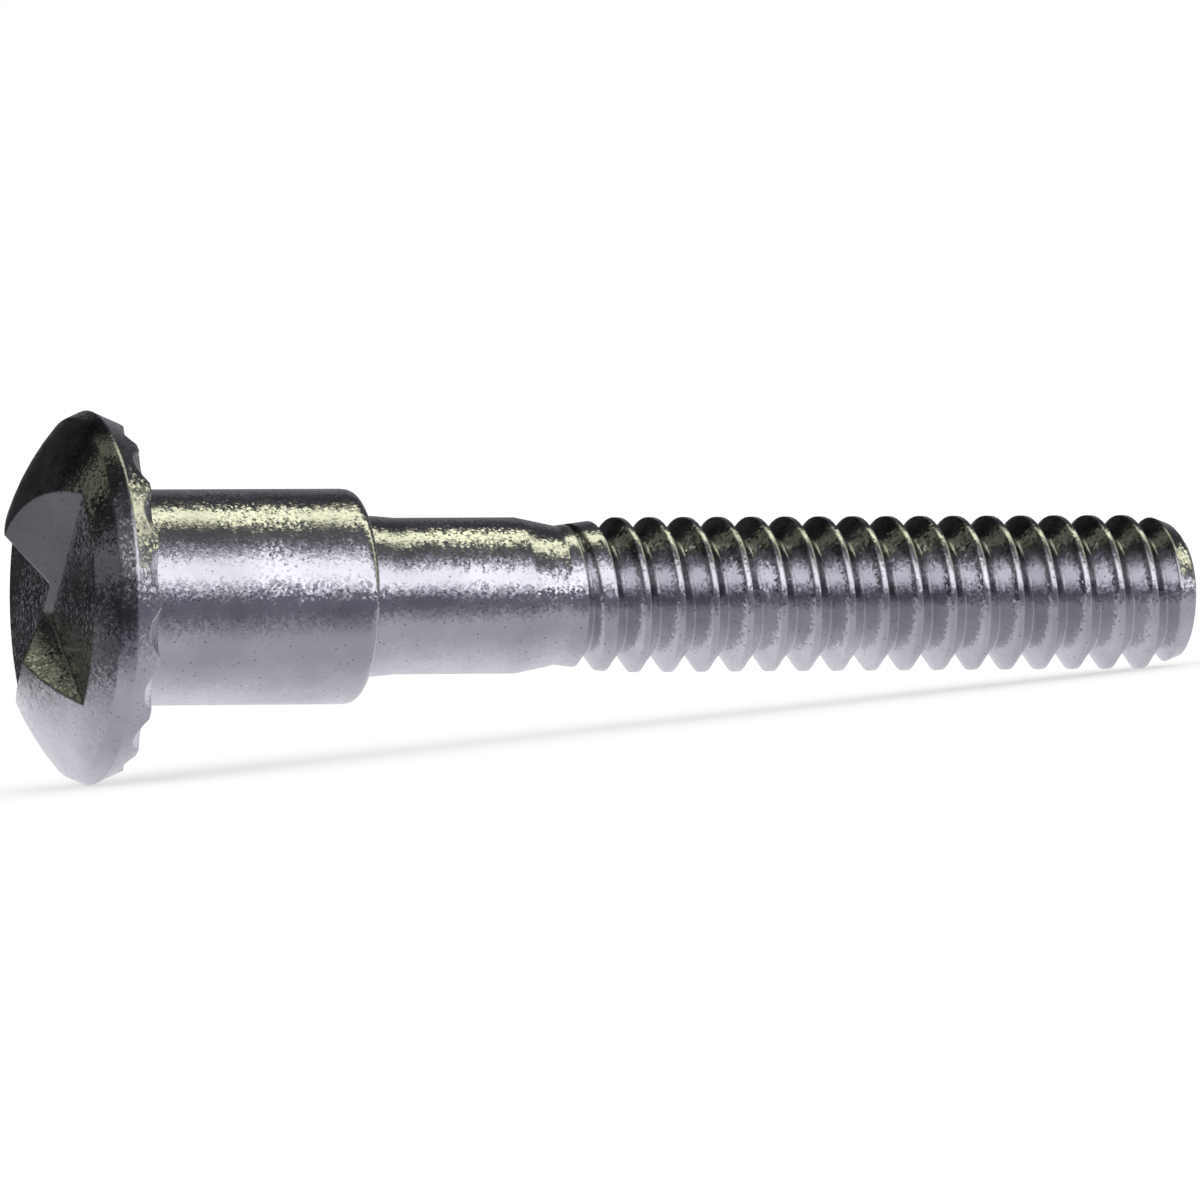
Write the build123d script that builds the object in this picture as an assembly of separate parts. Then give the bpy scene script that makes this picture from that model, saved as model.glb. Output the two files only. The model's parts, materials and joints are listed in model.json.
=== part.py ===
from build123d import *
from math import atan2, ceil, cos, degrees, radians, sin, sqrt
import os

# Shoulder bolt, cold headed and rolled from one piece of zinc-plated steel.
# It is drawn with its axis along X: the bearing face under the head at x = 0, the tip at +X.
# At the end it is laid down the way it rests, on the rim of its head and its last thread.

# ---- driving dimensions, mm and degrees ----
head_diameter = 11.0        # across the widest part of the rim
head_height = 3.32          # bearing face to crown
dome_radius = 7.85          # spherical dome
dome_diameter = 10.58       # where the dome meets the rim
rim_height = 0.8            # bearing face to the widest part of the rim
bearing_diameter = 10.3     # flat face under the head

scallop_count = 18          # shallow waves round the back edge of the rim
scallop_radius = 1.45
scallop_depth = 0.22
scallop_reach = 1.2         # half the length of the round cutter
scallop_turn = 1.5          # first wave, from straight up

recess_depth = 1.45         # flat floor below the crown
recess_turn = 36.9          # driving wall, below the level line through the axis
wall_offset = 0.5           # foot of the driving wall from the axis
wall_draft = 20.0
ramp_depth = 1.28           # ramp below the crown where it crosses the axis
ramp_slope = 27.0
ramp_turn = 44.0            # the way the ramp falls, below the level line

shoulder_diameter = 6.35    # 1/4 in
shoulder_length = 7.3
shoulder_edge = 0.33        # rounded end of the shoulder

collar_diameter = 4.74      # slight swell where the shank leaves the shoulder
collar_length = 1.3
shank_diameter = 4.62
shank_length = 5.02
taper_length = 1.22

thread_diameter = 4.6
thread_pitch = 25.4 / 24    # 24 turns to the inch
thread_depth = 0.56
blank_diameter = 4.11       # rolling blank, seen where the thread runs out
crest_width = 0.16          # flat left between the flanks
runout_length = 1.85        # crests grow from the blank to full height
thread_length = 19.5        # from the taper to the tip
first_groove = 0.88         # taper to the first full-depth turn of the groove
thread_turn = 175.0         # where that turn starts, from straight up
tip_chamfer_length = 0.95
tip_diameter = 3.9

# ---- worked out from them ----
head_radius = head_diameter / 2
crown_x = -head_height
dome_drop = dome_radius - sqrt(dome_radius**2 - (dome_diameter / 2) ** 2)
crease_x = crown_x + dome_drop
taper_start = shoulder_length + shank_length
thread_start = taper_start + taper_length
bolt_end = thread_start + thread_length
root_radius = thread_diameter / 2 - thread_depth
crest_radius = thread_diameter / 2
collar_end = shoulder_length + collar_length


def halfspace(point, facing):
    # A block that fills the side of a plane its direction points to.
    size = 3 * head_radius
    plane = Plane(origin=point, z_dir=facing)
    return plane * Box(size, size, size, align=(Align.CENTER, Align.CENTER, Align.MIN))


def around(angle):
    # Unit direction across the axis: 0 is level (-Y), 90 is up (+Z).
    return Vector(0, -cos(radians(angle)), sin(radians(angle)))


# ---- head, shoulder and shank, turned in one profile ----
profile = [
    ThreePointArc(
        (crown_x, 0),
        (crown_x + dome_radius - sqrt(dome_radius**2 - (dome_diameter / 4) ** 2), dome_diameter / 4),
        (crease_x, dome_diameter / 2),
    ),
    Polyline(
        (crease_x, dome_diameter / 2),
        (-rim_height, head_radius),
        (0, bearing_diameter / 2),
        (0, shoulder_diameter / 2),
        (shoulder_length - shoulder_edge, shoulder_diameter / 2),
    ),
    Bezier(
        (shoulder_length - shoulder_edge, shoulder_diameter / 2),
        (shoulder_length, shoulder_diameter / 2),
        (shoulder_length, shoulder_diameter / 2 - shoulder_edge),
    ),
    Polyline(
        (shoulder_length, shoulder_diameter / 2 - shoulder_edge),
        (shoulder_length, collar_diameter / 2),
        (shoulder_length + collar_length / 2, collar_diameter / 2),
        (collar_end, shank_diameter / 2),
        (taper_start, shank_diameter / 2),
        (thread_start, blank_diameter / 2),
        (thread_start + runout_length, crest_radius),
        (bolt_end - tip_chamfer_length, crest_radius),
        (bolt_end, tip_diameter / 2),
        (bolt_end, 0),
        (crown_x, 0),
    ),
]
bolt = revolve(make_face(Curve() + profile), axis=Axis.X)

# ---- one-way drive recess: two wings, half a turn apart ----
# Each wing is bounded by a driving wall, a flat floor and a ramp that climbs to the dome.
wall_facing = around(90 - recess_turn)
wall_foot = wall_facing * -wall_offset + Vector(crown_x + recess_depth, 0, 0)
wall_normal = wall_facing * cos(radians(wall_draft)) - Vector(sin(radians(wall_draft)), 0, 0)
ramp_normal = around(-ramp_turn) * sin(radians(ramp_slope)) - Vector(cos(radians(ramp_slope)), 0, 0)
wing = (
    halfspace(Vector(crown_x + recess_depth, 0, 0), Vector(-1, 0, 0))
    & halfspace(wall_foot, wall_normal)
    & halfspace(Vector(crown_x + ramp_depth, 0, 0), ramp_normal)
)
bolt = bolt - wing - wing.rotate(Axis.X, 180)

# ---- scallops in the back edge of the rim ----
edge_slope = degrees(atan2(head_radius - bearing_diameter / 2, rim_height))
scallop_tilt = (90 - edge_slope) / 2
for number in range(scallop_count):
    turn = scallop_turn + number * 360 / scallop_count
    cutter = Pos(scallop_radius - scallop_depth, 0, 0) * Cylinder(scallop_radius, 2 * scallop_reach)
    cutter = Pos(0, 0, bearing_diameter / 2) * Rot(0, -scallop_tilt, 0) * cutter
    bolt = bolt - cutter.rotate(Axis.X, turn)

# ---- rolled thread, right hand ----
half_pitch = thread_pitch / 2
cut_half = half_pitch - crest_width / 2
flank_run = cut_half / thread_depth
cut_top = 0.3 * crest_width / flank_run    # the flanks run this far out past the crest
groove = Polygon(
    (-cut_half - flank_run * cut_top, thread_depth + 0.5),
    (-cut_half - flank_run * cut_top, thread_depth + cut_top),
    (0, 0),
    (cut_half + flank_run * cut_top, thread_depth + cut_top),
    (cut_half + flank_run * cut_top, thread_depth + 0.5),
    align=None,
)


def helical_cut(start, turns, lift):
    # The groove swept along a helix; it starts lifted clear of the root by the given amount.
    slope = atan2(lift, turns * thread_pitch)
    path = Helix(
        pitch=thread_pitch / cos(slope),
        height=turns * thread_pitch / cos(slope),
        radius=root_radius + lift,
        center=(start, 0, 0),
        direction=(1, 0, 0),
        cone_angle=-degrees(slope),
    )
    section = Plane(origin=path @ 0, x_dir=(1, 0, 0), z_dir=(0, -1, 0)) * groove
    return sweep(section, path=path, is_frenet=True).rotate(Axis.X, thread_turn)


groove_start = thread_start + first_groove
full_turns = ceil((bolt_end - groove_start) / thread_pitch) + 1
bolt = bolt - helical_cut(groove_start - thread_pitch, 1, thread_depth)
for turn in range(full_turns):
    bolt = bolt - helical_cut(groove_start + turn * thread_pitch, 1, 0)

# ---- laid down on the rim of the head and the last full crest of the thread ----
bottom_crest = groove_start + thread_pitch * (1 - thread_turn / 180) / 2 + half_pitch
crest_count = (bolt_end - tip_chamfer_length - bottom_crest) // thread_pitch
rest_x = bottom_crest + crest_count * thread_pitch + crest_width / 2
lean = atan2(head_radius - crest_radius, rest_x + rim_height)
axis_height = head_radius * cos(lean) - rim_height * sin(lean)
bolt = Pos(0, 0, axis_height) * Rot(0, degrees(lean), 0) * bolt
box = bolt.bounding_box()
bolt = Pos(-box.center().X, 0, 0) * bolt

os.makedirs("parts", exist_ok=True)
export_step(bolt, "parts/shoulder_bolt.step")
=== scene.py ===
import json
from math import cos, radians, sin

import bpy
from mathutils import Matrix, Vector

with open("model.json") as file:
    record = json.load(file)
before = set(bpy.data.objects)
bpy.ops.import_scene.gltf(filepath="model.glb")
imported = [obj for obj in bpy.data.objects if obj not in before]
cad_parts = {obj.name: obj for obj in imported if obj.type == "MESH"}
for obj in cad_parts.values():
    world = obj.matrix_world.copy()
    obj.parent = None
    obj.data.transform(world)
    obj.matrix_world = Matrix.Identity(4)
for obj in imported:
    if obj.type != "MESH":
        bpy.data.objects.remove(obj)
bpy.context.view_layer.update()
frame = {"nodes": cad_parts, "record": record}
MM = 0.001

# The bolt lies on its rim and thread, so its axis dips towards the tip.
mounts = {mount["name"]: mount for mount in frame["record"]["mounts"]}
SHOULDER = Vector(mounts["shoulder"]["pos_m"])
AXIS = Vector(mounts["shoulder"]["axis"])
LEVEL = Vector((0, -1, 0))
UP = LEVEL.cross(AXIS).normalized()
if UP.z < 0:
    UP = -UP
FACE = Vector(mounts["bearing_face"]["pos_m"])
FACE = FACE - UP * (FACE - SHOULDER).dot(UP)


# ---- helpers for node trees ----
def empty_material(name):
    material = bpy.data.materials.new(name)
    material.use_nodes = True
    material.node_tree.nodes.clear()
    return material


def add_node(tree, kind, **values):
    # Each value goes to the socket of that name, or else to the node's own setting.
    item = tree.nodes.new(kind)
    for key, value in values.items():
        if key in item.inputs:
            item.inputs[key].default_value = value
        else:
            setattr(item, key, value)
    return item


def map_range(tree, source, span, result=(0.0, 1.0)):
    # Carries a value from one span to another and stops at both ends.
    item = add_node(tree, "ShaderNodeMapRange")
    names = ("From Min", "From Max", "To Min", "To Max")
    for name, value in zip(names, (*span, *result)):
        item.inputs[name].default_value = value
    tree.links.new(source, item.inputs["Value"])
    return item.outputs["Result"]


def colour_ramp(tree, source, stops):
    # Colours a value by (position, colour) pairs.
    item = add_node(tree, "ShaderNodeValToRGB")
    ramp = item.color_ramp
    while len(ramp.elements) < len(stops):
        ramp.elements.new(0.5)
    for element, (position, colour) in zip(ramp.elements, stops):
        element.position = position
        element.color = (*colour, 1)
    tree.links.new(source, item.inputs["Fac"])
    return item.outputs["Color"]


def vector_math(tree, operation, source, other=None, scale=None):
    # The other operand is either fixed or linked.
    item = add_node(tree, "ShaderNodeVectorMath", operation=operation)
    tree.links.new(source, item.inputs[0])
    if isinstance(other, (tuple, Vector)):
        item.inputs[1].default_value = other
    elif other is not None:
        tree.links.new(other, item.inputs[1])
    if scale is not None:
        tree.links.new(scale, item.inputs["Scale"])
    return item.outputs["Value" if operation == "DOT_PRODUCT" else "Vector"]


def part_reflections(tree, plain, reflected, output):
    # The metal's reflections meet the second shader and everything else the first.
    path = add_node(tree, "ShaderNodeLightPath")
    mix = add_node(tree, "ShaderNodeMixShader")
    out = add_node(tree, output)
    tree.links.new(path.outputs["Is Glossy Ray"], mix.inputs["Fac"])
    tree.links.new(plain, mix.inputs[1])
    tree.links.new(reflected, mix.inputs[2])
    tree.links.new(mix.outputs["Shader"], out.inputs["Surface"])


# ---- bright zinc plate: pale bluish metal with a fine crystalline sparkle ----
def bright_zinc():
    material = empty_material("bright_zinc")
    tree = material.node_tree
    place = add_node(tree, "ShaderNodeTexCoord").outputs["Object"]
    grain = add_node(tree, "ShaderNodeTexNoise", Scale=14000.0, Detail=1.0, Roughness=0.5)
    ripple = add_node(tree, "ShaderNodeTexNoise", Scale=1500.0, Detail=2.0)
    cloud = add_node(tree, "ShaderNodeTexNoise", Scale=420.0, Detail=4.0)
    specks = add_node(tree, "ShaderNodeTexVoronoi", Scale=4200.0, Randomness=1.0)
    crystals = add_node(tree, "ShaderNodeTexVoronoi", Scale=12500.0, Randomness=1.0)
    for item in (grain, ripple, cloud, specks, crystals):
        tree.links.new(place, item.inputs["Vector"])

    # the tint drifts, and sparse dark pinholes break it
    drift = cloud.outputs["Fac"]
    tint = colour_ramp(tree, drift, [(0.36, (0.55, 0.545, 0.575)), (0.66, (0.69, 0.685, 0.715))])
    pits = map_range(tree, specks.outputs["Distance"], (0.05, 0.16), (0.35, 1.0))
    shade = vector_math(tree, "SCALE", tint, scale=pits)
    polish = map_range(tree, ripple.outputs["Fac"], (0.3, 0.7), (0.08, 0.20))

    # plated edges are soft, and the plate ripples a little
    soft = add_node(tree, "ShaderNodeBevel", Radius=0.00012, samples=6)
    wave = add_node(tree, "ShaderNodeBump", Strength=0.25, Distance=0.00001)
    tree.links.new(soft.outputs["Normal"], wave.inputs["Normal"])
    tree.links.new(ripple.outputs["Fac"], wave.inputs["Height"])
    flake = add_node(tree, "ShaderNodeBump", Strength=0.5, Distance=0.000008)
    tree.links.new(grain.outputs["Fac"], flake.inputs["Height"])
    tree.links.new(wave.outputs["Normal"], flake.inputs["Normal"])

    # each crystal of the plate leans its own way, which makes the sparkle
    centred = vector_math(tree, "SUBTRACT", crystals.outputs["Color"], (0.5, 0.5, 0.5))
    coarse = map_range(tree, drift, (0.35, 0.65), (0.07, 0.19))
    lean = vector_math(tree, "SCALE", centred, scale=coarse)
    leaning = vector_math(tree, "ADD", flake.outputs["Normal"], lean)
    facing = vector_math(tree, "NORMALIZE", leaning)

    shader = add_node(tree, "ShaderNodeBsdfPrincipled", Metallic=1.0)
    tree.links.new(shade, shader.inputs["Base Color"])
    tree.links.new(polish, shader.inputs["Roughness"])
    tree.links.new(facing, shader.inputs["Normal"])
    out = add_node(tree, "ShaderNodeOutputMaterial")
    tree.links.new(shader.outputs["BSDF"], out.inputs["Surface"])
    return material


bolt = frame["nodes"]["shoulder_bolt"]
bolt.data.materials.clear()
bolt.data.materials.append(bright_zinc())

# ---- camera: close to level, from the head end, with the bolt almost level across the view ----
TURN = radians(17.75)
ROLL = radians(0.34)
DISTANCE = 0.5
SENSOR = 36
VIEW_WIDTH = 0.03552
AIM_ALONG = 15.0 * MM
AIM_DROP = 0.15 * MM
toward = (LEVEL * cos(TURN) - AXIS * sin(TURN)).normalized()
right = AXIS * cos(TURN) + LEVEL * sin(TURN)
side = right * cos(ROLL) - UP * sin(ROLL)
top = UP * cos(ROLL) + right * sin(ROLL)
aim = FACE + AXIS * AIM_ALONG - top * AIM_DROP
camera_data = bpy.data.cameras.new("camera")
camera = bpy.data.objects.new("camera", camera_data)
bpy.context.scene.collection.objects.link(camera)
turned = Matrix((side, top, toward)).transposed().to_4x4()
camera.matrix_world = Matrix.Translation(aim + toward * DISTANCE) @ turned
camera_data.sensor_width = SENSOR
camera_data.lens = SENSOR * DISTANCE / VIEW_WIDTH
camera_data.clip_start = 0.01
camera_data.clip_end = 10
bpy.context.scene.camera = camera

# ---- floor: a white sheet that keeps the shadow, with a painted glow that only the metal's reflections see ----
# In reflections the sheet shows a painted glow: painted light brightest under the bolt, falling
# off to painted shade in front and beyond the head.
PAINTED_GLOW_FRONT_TO_BACK = (-0.014, 0.002)
# painted light in the metal's reflections: the sheet's glow, dark in front and brightest under
# the bolt
PAINTED_FLOOR_GLOW = [
    (0.0, (0.16, 0.16, 0.20)),
    (0.27, (0.28, 0.275, 0.32)),
    (0.50, (0.50, 0.49, 0.55)),
    (0.66, (0.50, 0.49, 0.54)),
    (0.76, (0.60, 0.59, 0.64)),
    (0.90, (0.80, 0.79, 0.84)),
]
# painted shade in reflections: the glow fades beyond the head, down to this level
PAINTED_GLOW_FADE_BEYOND_HEAD = (-0.028, -0.019)
PAINTED_GLOW_LEVEL_BEYOND_HEAD = 0.20
bpy.ops.object.select_all(action="DESELECT")
bpy.ops.mesh.primitive_plane_add(size=6, location=(0, 0, 0))
floor = bpy.context.object
floor.name = "floor"
paper_with_painted_glow = empty_material("white_paper_with_painted_glow")
tree = paper_with_painted_glow.node_tree
place = add_node(tree, "ShaderNodeTexCoord")
apart = add_node(tree, "ShaderNodeSeparateXYZ")
tree.links.new(place.outputs["Object"], apart.inputs["Vector"])
glow_reach = map_range(tree, apart.outputs["Y"], PAINTED_GLOW_FRONT_TO_BACK)
glow_fade = map_range(tree, apart.outputs["X"], PAINTED_GLOW_FADE_BEYOND_HEAD, (PAINTED_GLOW_LEVEL_BEYOND_HEAD, 1.0))
# painted glow: the sheet shines in the metal's reflections, though it is no lamp
painted_floor_glow = add_node(tree, "ShaderNodeEmission")
tree.links.new(colour_ramp(tree, glow_reach, PAINTED_FLOOR_GLOW), painted_floor_glow.inputs["Color"])
tree.links.new(glow_fade, painted_floor_glow.inputs["Strength"])
shadowed = add_node(tree, "ShaderNodeBsdfDiffuse", Color=(0.5, 0.5, 0.5, 1))
lift = add_node(tree, "ShaderNodeEmission", Color=(1, 1, 1, 1), Strength=0.54)
white = add_node(tree, "ShaderNodeAddShader")
tree.links.new(shadowed.outputs["BSDF"], white.inputs[0])
tree.links.new(lift.outputs["Emission"], white.inputs[1])
part_reflections(
    tree, white.outputs["Shader"], painted_floor_glow.outputs["Emission"], "ShaderNodeOutputMaterial"
)
floor.data.materials.append(paper_with_painted_glow)

# ---- world: plain white light, and a banded studio in the metal's reflections ----
# Each band is (degrees from the camera's direction, up and over the bolt, colour).
LOWEST, HIGHEST = -30, 180
BANDS = [
    (LOWEST, (0.15, 0.15, 0.18)),
    (-8, (0.18, 0.18, 0.22)),
    (3, (0.34, 0.34, 0.40)),
    (12, (0.75, 0.74, 0.82)),
    (22, (1.45, 1.43, 1.52)),
    (42, (1.45, 1.43, 1.52)),
    (51, (0.75, 0.74, 0.80)),
    (61, (0.25, 0.25, 0.29)),
    (72, (0.12, 0.12, 0.12)),
    (87, (0.09, 0.09, 0.09)),
    (95, (1.15, 1.16, 0.82)),
    (107, (1.75, 1.78, 1.22)),
    (113, (0.35, 0.35, 0.28)),
    (118, (0.06, 0.06, 0.06)),
    (136, (0.04, 0.04, 0.05)),
    (152, (0.14, 0.14, 0.15)),
    (HIGHEST, (0.25, 0.25, 0.27)),
]
# The studio is dark beyond the head end: this is how far across it fades, and what is left.
HEAD_END = (-0.24, -0.02)
HEAD_END_LEVEL = 0.10
world = bpy.data.worlds.new("studio")
bpy.context.scene.world = world
world.use_nodes = True
tree = world.node_tree
tree.nodes.clear()
direction = add_node(tree, "ShaderNodeTexCoord").outputs["Generated"]
ahead = vector_math(tree, "DOT_PRODUCT", direction, toward)
above = vector_math(tree, "DOT_PRODUCT", direction, top)
across = vector_math(tree, "DOT_PRODUCT", direction, side)
angle = add_node(tree, "ShaderNodeMath", operation="ARCTAN2")
tree.links.new(above, angle.inputs[0])
tree.links.new(ahead, angle.inputs[1])
spread = map_range(tree, angle.outputs["Value"], (radians(LOWEST), radians(HIGHEST)))
stops = [((degree - LOWEST) / (HIGHEST - LOWEST), colour) for degree, colour in BANDS]
studio = add_node(tree, "ShaderNodeBackground")
tree.links.new(colour_ramp(tree, spread, stops), studio.inputs["Color"])
tree.links.new(
    map_range(tree, across, HEAD_END, (HEAD_END_LEVEL, 1.0)), studio.inputs["Strength"]
)
plain = add_node(tree, "ShaderNodeBackground", Color=(1, 1, 1, 1), Strength=1.0)
part_reflections(
    tree, plain.outputs["Background"], studio.outputs["Background"], "ShaderNodeOutputWorld"
)

bpy.context.scene.view_settings.view_transform = "Standard"
